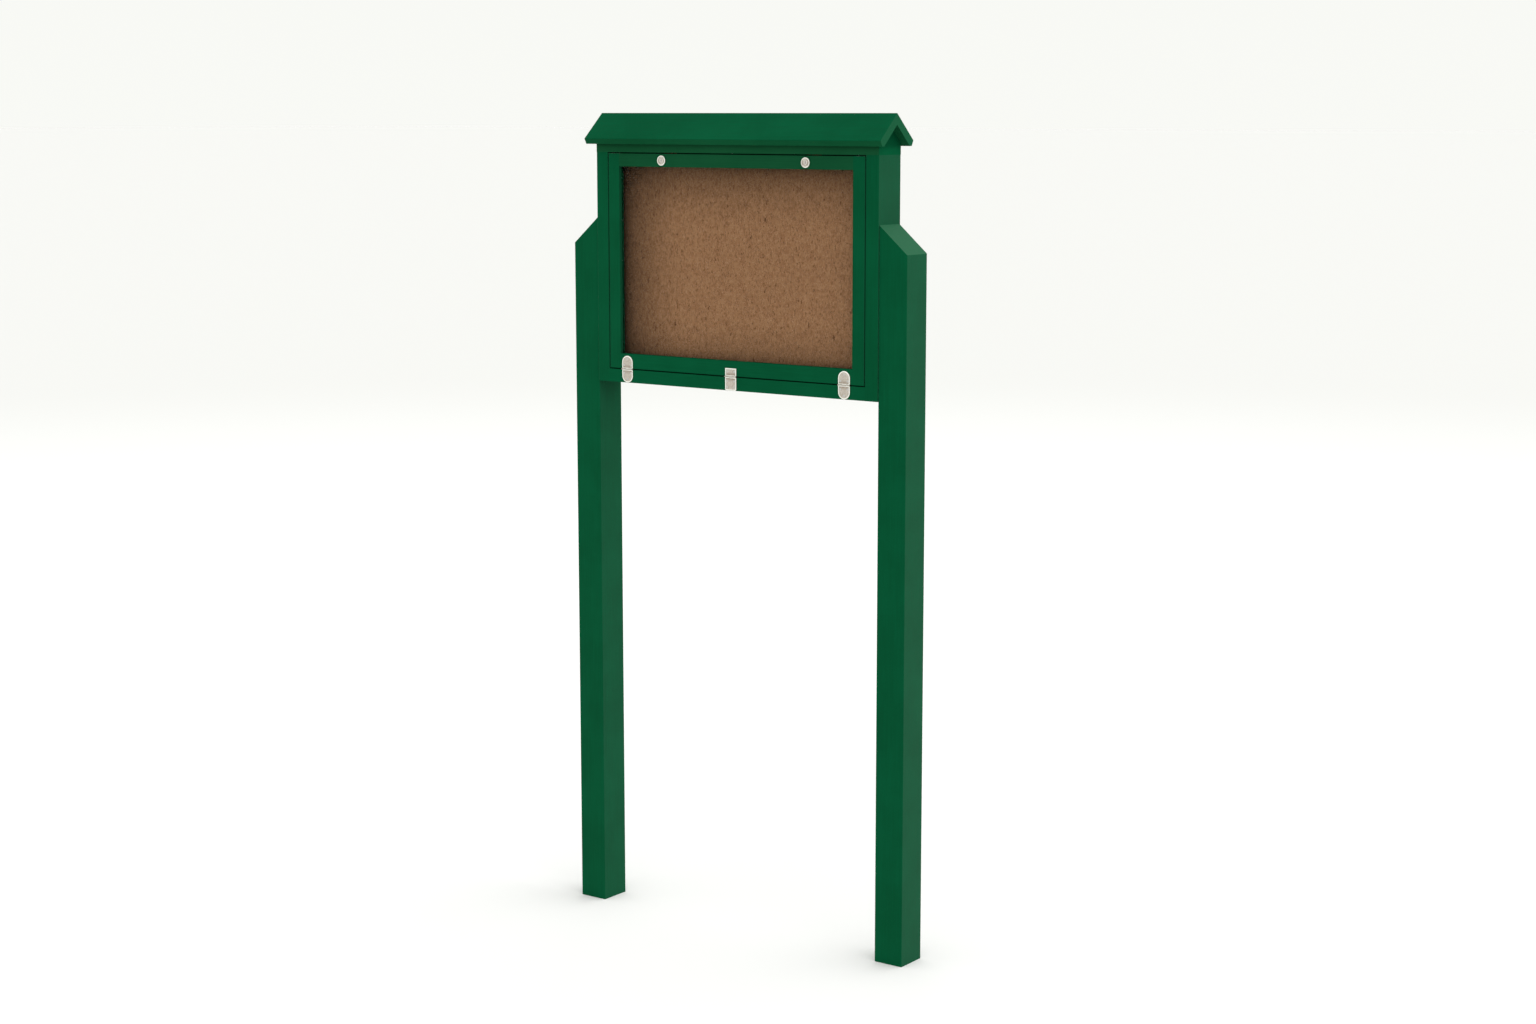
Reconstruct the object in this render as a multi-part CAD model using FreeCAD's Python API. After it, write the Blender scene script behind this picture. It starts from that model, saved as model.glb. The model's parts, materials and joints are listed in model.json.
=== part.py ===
import FreeCAD, Part
import math
import os

os.makedirs("parts", exist_ok=True)

# A message centre: a shallow glazed cabinet with a pitched roof, carried by two square posts.
# Millimetres. The origin is on the ground midway between the posts. X runs to the right as seen
# from the front, Y to the back and Z up. "Depth" is measured back from the cabinet's front face.

# Posts
POST_WIDTH = 89.0
POST_DEPTH = 98.0
POST_TOP_INNER = 2038.0
POST_TOP_OUTER = 1961.0
LUMBER_EDGE = 1.5

# Cabinet carcass
CABINET_WIDTH = 970.0
CABINET_DEPTH = 106.0
CABINET_BOTTOM = 1565.0
SIDE_THICKNESS = 40.5
BOTTOM_RAIL_TOP = 1602.3
TOP_BOARD_BOTTOM = 2222.8
TOP_BOARD_THICKNESS = 38.0

# Roof
ROOF_PITCH = math.radians(42.1)
RIDGE_Z = 2333.0
ROOF_HALF_SPAN = 80.0
ROOF_VERTICAL_THICKNESS = 30.9
EAVE_BOTTOM_Z = 2245.6
EAVE_CUT_Y = 71.6
ROOF_END_OVERHANG = 22.6
BLOCK_THICKNESS = 38.0
ROOF_EDGE = 1.0

# Door
DOOR_GAP = 3.5
DOOR_THICKNESS = 19.0
DOOR_BOTTOM = 1605.7
DOOR_TOP = 2219.4
WINDOW_HALF_WIDTH = 402.4
WINDOW_BOTTOM = 1647.9
WINDOW_TOP = 2182.5
DOOR_EDGE = 1.0
PANE_FRONT = 11.0
PANE_BACK = 15.5
PANE_LAP = 4.0
PANE_PLAY = 0.3
BEAD_LAP = 8.0

# Layers behind the door, as depths
SEAL_FRONT = 19.3
BATTEN_FRONT = 21.8
CORK_FRONT = 28.0
BACKER_FRONT = 34.0
BACKER_BACK = 46.0
REAR_PANEL_FRONT = 94.0
CLEAT_THICKNESS = 12.0
CLEAT_WIDTH = 20.0
BATTEN_WIDTH = 12.0
SEAL_WIDTH = 8.0
SHEET_PLAY = 0.5

# Hinges, along the gap under the door
HINGE_Z = 1604.0
HINGE_AXIS_DEPTH = -2.3
HINGE_WIDTH = 38.4
HINGE_X = 377.0
CENTRE_HINGE_X = -6.2
STRAP_LENGTH = 38.5
CENTRE_DOOR_LEAF = 24.0
CENTRE_FRAME_LEAF = 38.5
LEAF_THICKNESS = 1.6
LEAF_CHAMFER = 0.4
RIM_WIDTH = 3.0
FIELD_DEPTH = 0.3
LEAF_START = 2.4
KNUCKLE_RADIUS = 2.0
KNUCKLE_BORE = 0.95
KNUCKLE_GAP = 0.4
PIN_RADIUS = 0.9
PIN_HEAD_RADIUS = 1.5
PIN_HEAD = 0.5
PIN_STANDOFF = 0.1

# Locks
LOCK_X = 248.0
LOCK_Z = 2200.6
LOCK_FACE_RADIUS = 14.3
LOCK_FACE_THICKNESS = 3.2
LOCK_FACE_EDGE = 1.0
LOCK_FIELD_RADIUS = 11.8
LOCK_FIELD_DEPTH = 0.5
BARREL_RADIUS = 9.5
BARREL_HOLE_PLAY = 0.1
BARREL_END = 22.0
NUT_ACROSS = 24.0
PLUG_RADIUS = 6.0
PLUG_PLAY = 0.05
CAM_FRONT = 22.3
CAM_THICKNESS = 2.0
CAM_LENGTH = 32.0
CAM_HALF_WIDTH = 7.0
CAM_HUB_RADIUS = 8.0
TANG_RADIUS = 5.5
TANG_HALF_WIDTH = 4.0
POCKET_BEFORE = 9.5
POCKET_AFTER = 28.5
POCKET_DEPTHS = (20.8, 25.8)
POCKET_HEIGHT = 12.0
BATTEN_GAP_BEFORE = 16.0
BATTEN_GAP_AFTER = 38.0
STRIKE_DEPTHS = (14.0, 27.8)
STRIKE_BEFORE = 22.0
STRIKE_AFTER = 41.0
STRIKE_THICKNESS = 1.5

# Fasteners
WOOD_SCREW = 4.5
WOOD_SCREW_HEAD = 9.0
SMALL_SCREW = 3.0
SMALL_SCREW_HEAD = 6.0
SOCKET_SHARE = 0.42
BEAD_SCREW = 2.2
BEAD_SCREW_HEAD = 4.2
BOLT_RADIUS = 5.0
BOLT_LENGTH = 90.0
BOLT_HEAD_ACROSS = 16.0
BOLT_HEAD_HEIGHT = 6.5
WASHER_RADIUS = 11.0
WASHER_THICKNESS = 2.0
BOLT_DEPTH = 70.0
BOLT_HEIGHTS = (1640.0, 1800.0, 1960.0)

# Derived places
FRONT = -CABINET_DEPTH / 2
HALF_WIDTH = CABINET_WIDTH / 2
INNER_X = HALF_WIDTH - SIDE_THICKNESS
DOOR_HALF_WIDTH = INNER_X - DOOR_GAP
TOP_BOARD_TOP = TOP_BOARD_BOTTOM + TOP_BOARD_THICKNESS
ROOF_SLOPE = math.tan(ROOF_PITCH)
INNER_RIDGE_Z = RIDGE_Z - ROOF_VERTICAL_THICKNESS
CLEAT_X = INNER_X - CLEAT_WIDTH

X_AXIS = FreeCAD.Vector(1, 0, 0)
Y_AXIS = FreeCAD.Vector(0, 1, 0)
Z_AXIS = FreeCAD.Vector(0, 0, 1)


def point(x, depth, z):
    """A point by x, depth behind the cabinet's front face, and z."""
    return FreeCAD.Vector(x, FRONT + depth, z)


def board(x, depth, z):
    """A rectangular board from its ranges in x, depth and z."""
    return Part.makeBox(x[1] - x[0], depth[1] - depth[0], z[1] - z[0], point(x[0], depth[0], z[0]))


def prism_along_x(outline, x0, x1):
    """A prism from x0 to x1 with an outline of (y, z) points."""
    corners = [FreeCAD.Vector(x0, y, z) for y, z in outline]
    wire = Part.makePolygon(corners + corners[:1])
    return Part.Face(wire).extrude(X_AXIS * (x1 - x0))


def turned(outline, origin, direction):
    """A solid of revolution from (radius, distance) points, set along a direction."""
    corners = [FreeCAD.Vector(radius, 0, distance) for radius, distance in outline]
    wire = Part.makePolygon(corners + corners[:1])
    solid = Part.Face(wire).revolve(FreeCAD.Vector(), Z_AXIS, 360)
    solid.Placement = FreeCAD.Placement(origin, FreeCAD.Rotation(Z_AXIS, direction))
    return solid


def hexagon(across, height, origin, direction):
    """A hexagonal prism with the given size across its flats."""
    radius = across / math.sqrt(3)
    angles = [math.radians(60 * corner) for corner in range(6)]
    corners = [FreeCAD.Vector(radius * math.cos(a), radius * math.sin(a), 0) for a in angles]
    wire = Part.makePolygon(corners + corners[:1])
    solid = Part.Face(wire).extrude(Z_AXIS * height)
    solid.Placement = FreeCAD.Placement(origin, FreeCAD.Rotation(Z_AXIS, direction))
    return solid


class Fastener:
    """A screw or bolt: its finished shape, and the plain blank that its hole fits."""

    def __init__(self, blank, socket=None):
        self.blank = blank
        self.shape = blank.cut(socket) if socket else blank


def screw(origin, direction, length, shank, head):
    """A countersunk screw with a hexagonal socket. Its head's face is at the origin."""
    radius = shank / 2
    flare = (head - shank) / 2
    outline = [(0, 0), (head / 2, 0), (radius, flare), (radius, length - shank), (0, length)]
    socket = hexagon(head * SOCKET_SHARE, flare, origin, direction)
    return Fastener(turned(outline, origin, direction), socket)


def eased(solid, radius, chosen):
    """The solid with the chosen edges rounded."""
    edges = [edge for edge in solid.Edges if chosen(edge)]
    return solid.makeFillet(radius, edges)


def runs_along(edge, axis):
    """Whether a straight edge is parallel to an axis."""
    if len(edge.Vertexes) != 2:
        return False
    span = edge.Vertexes[1].Point - edge.Vertexes[0].Point
    return abs(span.dot(axis)) > 0.999 * span.Length


def drilled(member, fasteners):
    """The member with a hole for each fastener."""
    blanks = [fastener.blank for fastener in fasteners]
    near = [blank for blank in blanks if blank.BoundBox.intersect(member.BoundBox)]
    return member.cut(near) if near else member


def save(name, *solids):
    """Write one node, which may be a group of separate solids."""
    shape = solids[0] if len(solids) == 1 else Part.makeCompound(list(solids))
    shape.exportStep(f"parts/{name}.step")


def save_fasteners(name, fasteners):
    save(name, *[fastener.shape for fastener in fasteners])


def roof_under(y):
    """Height of the roof's underside at a distance from the ridge line."""
    return INNER_RIDGE_Z - abs(y) * ROOF_SLOPE


# ---------------------------------------------------------------- fasteners

def wood_screw(origin, direction, length):
    return screw(origin, direction, length, WOOD_SCREW, WOOD_SCREW_HEAD)


def small_screw(origin, direction, length):
    return screw(origin, direction, length, SMALL_SCREW, SMALL_SCREW_HEAD)


def post_bolt(side, z):
    """A lag bolt from inside the cabinet, through the side board, into the post."""
    seat = point(side * (INNER_X - WASHER_THICKNESS), BOLT_DEPTH, z)
    outward = X_AXIS * side
    tip = BOLT_LENGTH + WASHER_THICKNESS
    outline = [(0, 0), (BOLT_RADIUS, 0), (BOLT_RADIUS, tip - BOLT_RADIUS), (0, tip)]
    head = hexagon(BOLT_HEAD_ACROSS, BOLT_HEAD_HEIGHT, seat, outward * -1)
    return Fastener(turned(outline, seat, outward).fuse(head).removeSplitter())


def post_washer(side, z):
    seat = point(side * (INNER_X - WASHER_THICKNESS), BOLT_DEPTH, z)
    outward = X_AXIS * side
    disc = Part.makeCylinder(WASHER_RADIUS, WASHER_THICKNESS, seat, outward)
    return disc.cut(Part.makeCylinder(BOLT_RADIUS, WASHER_THICKNESS, seat, outward))


def carcass_screws():
    """Down through the top board into each side, and through each side into the bottom rail."""
    made = []
    for side in (-1, 1):
        for y in (-35, 0, 35):
            top = FreeCAD.Vector(side * (HALF_WIDTH - SIDE_THICKNESS / 2), y, TOP_BOARD_TOP)
            made.append(wood_screw(top, Z_AXIS * -1, 85))
            end = FreeCAD.Vector(side * HALF_WIDTH, y, (CABINET_BOTTOM + BOTTOM_RAIL_TOP) / 2)
            made.append(wood_screw(end, X_AXIS * -side, 85))
    return made


def roof_panel_screws():
    """Up through the top board into each roof panel."""
    return [wood_screw(FreeCAD.Vector(x, y, TOP_BOARD_BOTTOM), Z_AXIS, 54)
            for x in (-420, -210, 0, 210, 420) for y in (-49, 49)]


def roof_block_screws():
    """Up through the top board into each gable block."""
    end = HALF_WIDTH - BLOCK_THICKNESS / 2
    return [wood_screw(FreeCAD.Vector(x, y, TOP_BOARD_BOTTOM), Z_AXIS, 58)
            for x in (-end, 0, end) for y in (-16, 16)]


SIDE_ROW = (1650, 1790, 1912, 2035, 2175)


def board_screws():
    """Through a stop batten, the pin board and the backer into a cleat."""
    half = BATTEN_WIDTH / 2
    places = [(side * (INNER_X - half), z) for side in (-1, 1) for z in SIDE_ROW]
    for z in (BOTTOM_RAIL_TOP + half, TOP_BOARD_BOTTOM - half):
        places += [(x, z) for x in (-380, -150, 0, 150, 380)]
    return [small_screw(point(x, BATTEN_FRONT, z), Y_AXIS, 34) for x, z in places]


def rear_panel_screws():
    half = CLEAT_WIDTH / 2
    places = [(side * (INNER_X - half), z) for side in (-1, 1) for z in SIDE_ROW]
    for z in (BOTTOM_RAIL_TOP + half, TOP_BOARD_BOTTOM - half):
        places += [(x, z) for x in (-380, -190, 0, 190, 380)]
    return [small_screw(point(x, CABINET_DEPTH, z), Y_AXIS * -1, 22) for x, z in places]


def cleat_screws():
    """Through each cleat into the carcass board beside it."""
    made = []
    for depth in (BACKER_BACK + CLEAT_THICKNESS / 2, REAR_PANEL_FRONT - CLEAT_THICKNESS / 2):
        for side in (-1, 1):
            for z in (1700, 1850, 1980, 2120):
                made.append(small_screw(point(side * CLEAT_X, depth, z), X_AXIS * side, 38))
        for x in (-270, 60, 270):
            low = point(x, depth, BOTTOM_RAIL_TOP + CLEAT_WIDTH)
            high = point(x, depth, TOP_BOARD_BOTTOM - CLEAT_WIDTH)
            made.append(small_screw(low, Z_AXIS * -1, 38))
            made.append(small_screw(high, Z_AXIS, 38))
    return made


def strike_screws():
    return [small_screw(point(side * LOCK_X + x, 19, TOP_BOARD_BOTTOM), Z_AXIS, 18)
            for side in (-1, 1) for x in (-STRIKE_BEFORE + 6, STRIKE_AFTER - 6)]


def door_corner_screws():
    """Through each stile's outer edge into the end of each rail."""
    rails = ((DOOR_BOTTOM + WINDOW_BOTTOM) / 2, (WINDOW_TOP + DOOR_TOP) / 2)
    return [wood_screw(point(side * DOOR_HALF_WIDTH, 13, rail + offset), X_AXIS * -side, 75)
            for side in (-1, 1) for rail in rails for offset in (-10, 10)]


def bead_screws():
    reach = PANE_LAP + 2
    across = WINDOW_HALF_WIDTH + reach
    places = [(side * across, z) for side in (-1, 1) for z in (1680, 1800, 1915, 2030, 2150)]
    for z in (WINDOW_BOTTOM - reach, WINDOW_TOP + reach):
        places += [(x, z) for x in (-350, -190, 0, 190, 350)]
    return [screw(point(x, DOOR_THICKNESS, z), Y_AXIS * -1, 13, BEAD_SCREW, BEAD_SCREW_HEAD)
            for x, z in places]


# ---------------------------------------------------------------- hinges

def leaf_plate(x, side, start, end, width, corner, depth):
    """A plate between two distances from the axis, its two far corners rounded."""
    z = sorted((HINGE_Z + side * start, HINGE_Z + side * end))
    plate = board((x - width / 2, x + width / 2), depth, z)
    if corner <= 0:
        return plate
    far = HINGE_Z + side * end
    return eased(plate, corner, lambda edge: runs_along(edge, Y_AXIS)
                 and abs(edge.Vertexes[0].Z - far) < 0.01)


def hinge_leaf(x, side, length, corner, middle):
    """A leaf above the axis (side 1) or below it (-1), with the middle knuckle or the outer two."""
    half = HINGE_WIDTH / 2
    face = -LEAF_THICKNESS
    leaf = leaf_plate(x, side, LEAF_START, length, HINGE_WIDTH, corner, (face, 0))
    front = [edge for edge in leaf.Edges
             if abs(edge.BoundBox.YMax - (FRONT + face)) < 0.01
             and abs(edge.CenterOfMass.z - HINGE_Z) > LEAF_START + 0.1]
    leaf = leaf.makeChamfer(LEAF_CHAMFER, front)
    field = leaf_plate(x, side, LEAF_START + RIM_WIDTH / 2, length - RIM_WIDTH,
                       HINGE_WIDTH - 2 * RIM_WIDTH, corner - RIM_WIDTH, (face, face + FIELD_DEPTH))
    leaf = leaf.cut(field)
    third = HINGE_WIDTH / 3
    starts = [x - third / 2] if middle else [x - half, x + half - third]
    axis = FRONT + HINGE_AXIS_DEPTH
    for start in starts:
        x0 = start + (KNUCKLE_GAP / 2 if start > x - half else 0)
        x1 = start + third - (KNUCKLE_GAP / 2 if start + third < x + half - 0.01 else 0)
        knuckle = Part.makeCylinder(
            KNUCKLE_RADIUS, x1 - x0, FreeCAD.Vector(x0, axis, HINGE_Z), X_AXIS)
        tab_z = sorted((HINGE_Z, HINGE_Z + side * (LEAF_START + 0.5)))
        tab = board((x0, x1), (face, 0), tab_z)
        leaf = leaf.fuse([knuckle, tab])
    bore = Part.makeCylinder(
        KNUCKLE_BORE, HINGE_WIDTH, FreeCAD.Vector(x - half, axis, HINGE_Z), X_AXIS)
    return leaf.cut(bore).removeSplitter()


def hinge_pin(x):
    """A pin with a small head at each end."""
    shaft = HINGE_WIDTH + 2 * PIN_STANDOFF
    end = shaft + 2 * PIN_HEAD
    outline = [(0, 0), (PIN_HEAD_RADIUS, 0), (PIN_HEAD_RADIUS, PIN_HEAD), (PIN_RADIUS, PIN_HEAD),
               (PIN_RADIUS, PIN_HEAD + shaft), (PIN_HEAD_RADIUS, PIN_HEAD + shaft),
               (PIN_HEAD_RADIUS, end), (0, end)]
    start = FreeCAD.Vector(x - end / 2, FRONT + HINGE_AXIS_DEPTH, HINGE_Z)
    return turned(outline, start, X_AXIS)


def hinge_screws(x, side, places):
    """Screws through a leaf, at (x, distance from the axis) places."""
    seat = FIELD_DEPTH - LEAF_THICKNESS
    return [small_screw(point(x + dx, seat, HINGE_Z + side * dz), Y_AXIS, 11)
            for dx, dz in places]


# ---------------------------------------------------------------- locks

def lock_axis(x, depth):
    return point(x, depth, LOCK_Z)


def lock_body(x):
    """The round face and the barrel, bored for the plug."""
    face = Part.makeCylinder(
        LOCK_FACE_RADIUS, LOCK_FACE_THICKNESS, lock_axis(x, -LOCK_FACE_THICKNESS), Y_AXIS)
    rim = [edge for edge in face.Edges
           if abs(edge.CenterOfMass.y - (FRONT - LOCK_FACE_THICKNESS)) < 0.01]
    face = face.makeFillet(LOCK_FACE_EDGE, rim)
    field = Part.makeCylinder(
        LOCK_FIELD_RADIUS, LOCK_FIELD_DEPTH, lock_axis(x, -LOCK_FACE_THICKNESS), Y_AXIS)
    barrel = Part.makeCylinder(BARREL_RADIUS, BARREL_END, lock_axis(x, 0), Y_AXIS)
    bore = Part.makeCylinder(
        PLUG_RADIUS + PLUG_PLAY, LOCK_FACE_THICKNESS + BARREL_END,
        lock_axis(x, -LOCK_FACE_THICKNESS), Y_AXIS)
    return face.fuse(barrel).cut([bore, field]).removeSplitter()


def lock_nut(x):
    nut = hexagon(NUT_ACROSS, BARREL_END - DOOR_THICKNESS, lock_axis(x, DOOR_THICKNESS), Y_AXIS)
    hole = Part.makeCylinder(
        BARREL_RADIUS, BARREL_END - DOOR_THICKNESS, lock_axis(x, DOOR_THICKNESS), Y_AXIS)
    return nut.cut(hole)


def tang(x, front, back):
    """The plug's flat-sided end."""
    round_part = Part.makeCylinder(TANG_RADIUS, back - front, lock_axis(x, front), Y_AXIS)
    flats = board((x - TANG_RADIUS, x + TANG_RADIUS), (front, back),
                  (LOCK_Z - TANG_HALF_WIDTH, LOCK_Z + TANG_HALF_WIDTH))
    return round_part.common(flats)


def cam_screw(x):
    """A round-headed screw that holds the cam on the plug."""
    back = CAM_FRONT + CAM_THICKNESS
    outline = [(0, 0), (3.4, 0), (4.5, 1.0), (4.5, 1.7), (2, 1.7), (2, 11), (0, 11)]
    socket = hexagon(2.6, 1.2, lock_axis(x, back + 1.7), Y_AXIS * -1)
    return turned(outline, lock_axis(x, back + 1.7), Y_AXIS * -1).cut(socket)


def lock_plug(x):
    """The turning core, with a key slot in its face and flats for the cam behind."""
    face = LOCK_FIELD_DEPTH - LOCK_FACE_THICKNESS
    core = Part.makeCylinder(PLUG_RADIUS, CAM_FRONT - face, lock_axis(x, face), Y_AXIS)
    core = core.fuse(tang(x, CAM_FRONT, CAM_FRONT + CAM_THICKNESS))
    slot = board((x - 0.9, x + 0.9), (face, face + 7), (LOCK_Z - 3.8, LOCK_Z + 3.8))
    shank = Part.makeCylinder(2, 20, lock_axis(x, CAM_FRONT + CAM_THICKNESS - 9.3), Y_AXIS)
    return core.cut([slot, shank]).removeSplitter()


def lock_cam(x):
    """The cam, lying level to the right, as it is when unlocked."""
    hub = Part.makeCylinder(CAM_HUB_RADIUS, CAM_THICKNESS, lock_axis(x, CAM_FRONT), Y_AXIS)
    arm = board((x, x + CAM_LENGTH), (CAM_FRONT, CAM_FRONT + CAM_THICKNESS),
                (LOCK_Z - CAM_HALF_WIDTH, LOCK_Z + CAM_HALF_WIDTH))
    arm = eased(arm, 3, lambda edge: runs_along(edge, Y_AXIS)
                and edge.Vertexes[0].X > x + CAM_LENGTH - 1)
    hole = tang(x, CAM_FRONT, CAM_FRONT + CAM_THICKNESS)
    return hub.fuse(arm).cut(hole).removeSplitter()


def strike_plate(x, screws):
    """A plate let into the top board's underside, with a slot for the cam."""
    z = (TOP_BOARD_BOTTOM, TOP_BOARD_BOTTOM + STRIKE_THICKNESS)
    plate = board((x - STRIKE_BEFORE, x + STRIKE_AFTER), STRIKE_DEPTHS, z)
    slot = board((x - POCKET_BEFORE, x + POCKET_AFTER), POCKET_DEPTHS, z)
    return drilled(plate.cut(slot), screws)


# ---------------------------------------------------------------- lumber

def post(side, bolts):
    """A post whose top slopes down and outwards."""
    inner = side * HALF_WIDTH
    outer = side * (HALF_WIDTH + POST_WIDTH)
    corners = [(inner, 0), (outer, 0), (outer, POST_TOP_OUTER), (inner, POST_TOP_INNER)]
    points = [FreeCAD.Vector(x, -POST_DEPTH / 2, z) for x, z in corners]
    face = Part.Face(Part.makePolygon(points + points[:1]))
    solid = face.extrude(Y_AXIS * POST_DEPTH)
    return drilled(eased(solid, LUMBER_EDGE, lambda edge: runs_along(edge, Z_AXIS)), bolts)


def side_board(side, fasteners):
    x = sorted((side * INNER_X, side * HALF_WIDTH))
    solid = board(x, (0, CABINET_DEPTH), (CABINET_BOTTOM, TOP_BOARD_BOTTOM))
    outer = eased(solid, LUMBER_EDGE, lambda edge: runs_along(edge, Z_AXIS)
                  and abs(abs(edge.Vertexes[0].X) - HALF_WIDTH) < 0.01)
    return drilled(outer, fasteners)


def top_board(fasteners):
    """The top board, its long edges bevelled to carry the roof, with a pocket for each cam."""
    edge = -FRONT
    flat = (INNER_RIDGE_Z - TOP_BOARD_TOP) / ROOF_SLOPE
    outline = [(-edge, TOP_BOARD_BOTTOM), (edge, TOP_BOARD_BOTTOM), (edge, roof_under(edge)),
               (flat, TOP_BOARD_TOP), (-flat, TOP_BOARD_TOP), (-edge, roof_under(edge))]
    solid = prism_along_x(outline, -HALF_WIDTH, HALF_WIDTH)
    hollows = []
    for side in (-1, 1):
        x = side * LOCK_X
        hollows.append(board((x - POCKET_BEFORE, x + POCKET_AFTER), POCKET_DEPTHS,
                             (TOP_BOARD_BOTTOM, TOP_BOARD_BOTTOM + POCKET_HEIGHT)))
        hollows.append(board((x - STRIKE_BEFORE, x + STRIKE_AFTER), STRIKE_DEPTHS,
                             (TOP_BOARD_BOTTOM, TOP_BOARD_BOTTOM + STRIKE_THICKNESS)))
    return drilled(solid.cut(hollows), fasteners)


def roof_block(x, fasteners):
    """A three-cornered block that fills the roof above the top board."""
    flat = (INNER_RIDGE_Z - TOP_BOARD_TOP) / ROOF_SLOPE
    outline = [(-flat, TOP_BOARD_TOP), (flat, TOP_BOARD_TOP), (0, INNER_RIDGE_Z)]
    half = BLOCK_THICKNESS / 2
    return drilled(prism_along_x(outline, x - half, x + half), fasteners)


def roof_panel(side, fasteners):
    """One slope of the roof, mitred at the ridge and cut back under the eave."""
    under = (INNER_RIDGE_Z - EAVE_BOTTOM_Z) / ROOF_SLOPE
    tip_z = RIDGE_Z - ROOF_HALF_SPAN * ROOF_SLOPE
    outline = [(0, RIDGE_Z), (side * ROOF_HALF_SPAN, tip_z), (side * EAVE_CUT_Y, EAVE_BOTTOM_Z),
               (side * under, EAVE_BOTTOM_Z), (0, INNER_RIDGE_Z)]
    length = HALF_WIDTH + ROOF_END_OVERHANG
    solid = prism_along_x(outline, -length, length)
    solid = eased(solid, ROOF_EDGE, lambda edge: runs_along(edge, X_AXIS)
                  and abs(edge.Vertexes[0].Y) > EAVE_CUT_Y - 1)
    return drilled(solid, fasteners)


def frame_of_four(width, depth, inner_x, bottom, top):
    """Left, right, bottom and top strips of one width, round the inside of an opening."""
    upright = (bottom, top)
    between = (-inner_x + width, inner_x - width)
    return [board((-inner_x, -inner_x + width), depth, upright),
            board((inner_x - width, inner_x), depth, upright),
            board(between, depth, (bottom, bottom + width)),
            board(between, depth, (top - width, top))]


def stop_battens(fasteners):
    """The battens in front of the pin board. The top one is in three, to clear the cams."""
    left, right, bottom, top = frame_of_four(
        BATTEN_WIDTH, (BATTEN_FRONT, CORK_FRONT), INNER_X, BOTTOM_RAIL_TOP, TOP_BOARD_BOTTOM)
    top = top.cut(cam_gaps((BATTEN_FRONT, CORK_FRONT)))
    return [drilled(left, fasteners), drilled(right, fasteners), drilled(bottom, fasteners),
            [drilled(piece, fasteners) for piece in top.Solids]]


def cam_gaps(depth):
    """The spaces that the two cams sweep through, above the door's top rail."""
    return [board((side * LOCK_X - BATTEN_GAP_BEFORE, side * LOCK_X + BATTEN_GAP_AFTER), depth,
                  (TOP_BOARD_BOTTOM - 2 * BATTEN_WIDTH, TOP_BOARD_BOTTOM)) for side in (-1, 1)]


def door_seal():
    """Soft strips down the middle of the stop battens."""
    inset = (BATTEN_WIDTH - SEAL_WIDTH) / 2
    depth = (SEAL_FRONT, BATTEN_FRONT)
    strips = frame_of_four(SEAL_WIDTH, depth, INNER_X - inset,
                           BOTTOM_RAIL_TOP + inset, TOP_BOARD_BOTTOM - inset)
    return strips[:3] + strips[3].cut(cam_gaps(depth)).Solids


def door_frame(fasteners):
    """Two stiles and two rails, rebated at the back for the pane and its beads."""
    lap = PANE_LAP + PANE_PLAY
    pane_seat = board((-WINDOW_HALF_WIDTH - lap, WINDOW_HALF_WIDTH + lap), (PANE_FRONT, PANE_BACK),
                      (WINDOW_BOTTOM - lap, WINDOW_TOP + lap))
    bead_seat = board((-WINDOW_HALF_WIDTH - BEAD_LAP, WINDOW_HALF_WIDTH + BEAD_LAP),
                      (PANE_BACK, DOOR_THICKNESS),
                      (WINDOW_BOTTOM - BEAD_LAP, WINDOW_TOP + BEAD_LAP))
    barrels = [Part.makeCylinder(BARREL_RADIUS + BARREL_HOLE_PLAY, DOOR_THICKNESS,
                                 lock_axis(side * LOCK_X, 0), Y_AXIS) for side in (-1, 1)]
    depth = (0, DOOR_THICKNESS)
    between = (-WINDOW_HALF_WIDTH, WINDOW_HALF_WIDTH)
    stiles = []
    for side in (-1, 1):
        x = sorted((side * WINDOW_HALF_WIDTH, side * DOOR_HALF_WIDTH))
        stile = board(x, depth, (DOOR_BOTTOM, DOOR_TOP))
        stiles.append(eased(stile, DOOR_EDGE, lambda edge: runs_along(edge, Z_AXIS)
                            and abs(abs(edge.Vertexes[0].X) - DOOR_HALF_WIDTH) < 0.01))
    rails = []
    for z, outer in (((DOOR_BOTTOM, WINDOW_BOTTOM), DOOR_BOTTOM), ((WINDOW_TOP, DOOR_TOP), DOOR_TOP)):
        rail = board(between, depth, z)
        rails.append(eased(rail, DOOR_EDGE, lambda edge: runs_along(edge, X_AXIS)
                           and abs(edge.Vertexes[0].Z - outer) < 0.01))
    cutters = [pane_seat, bead_seat] + barrels
    return [drilled(member.cut(cutters), fasteners) for member in stiles + rails]


def glazing_beads(fasteners):
    depth = (PANE_BACK, DOOR_THICKNESS)
    beads = frame_of_four(BEAD_LAP, depth, WINDOW_HALF_WIDTH + BEAD_LAP,
                          WINDOW_BOTTOM - BEAD_LAP, WINDOW_TOP + BEAD_LAP)
    return [drilled(bead, fasteners) for bead in beads]


# ---------------------------------------------------------------- assembly

bolts = [post_bolt(side, z) for side in (-1, 1) for z in BOLT_HEIGHTS]
washers = [post_washer(side, z) for side in (-1, 1) for z in BOLT_HEIGHTS]
carcass = carcass_screws()
roof_fixings = roof_panel_screws()
block_fixings = roof_block_screws()
board_fixings = board_screws()
rear_fixings = rear_panel_screws()
cleat_fixings = cleat_screws()
strike_fixings = strike_screws()

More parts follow.
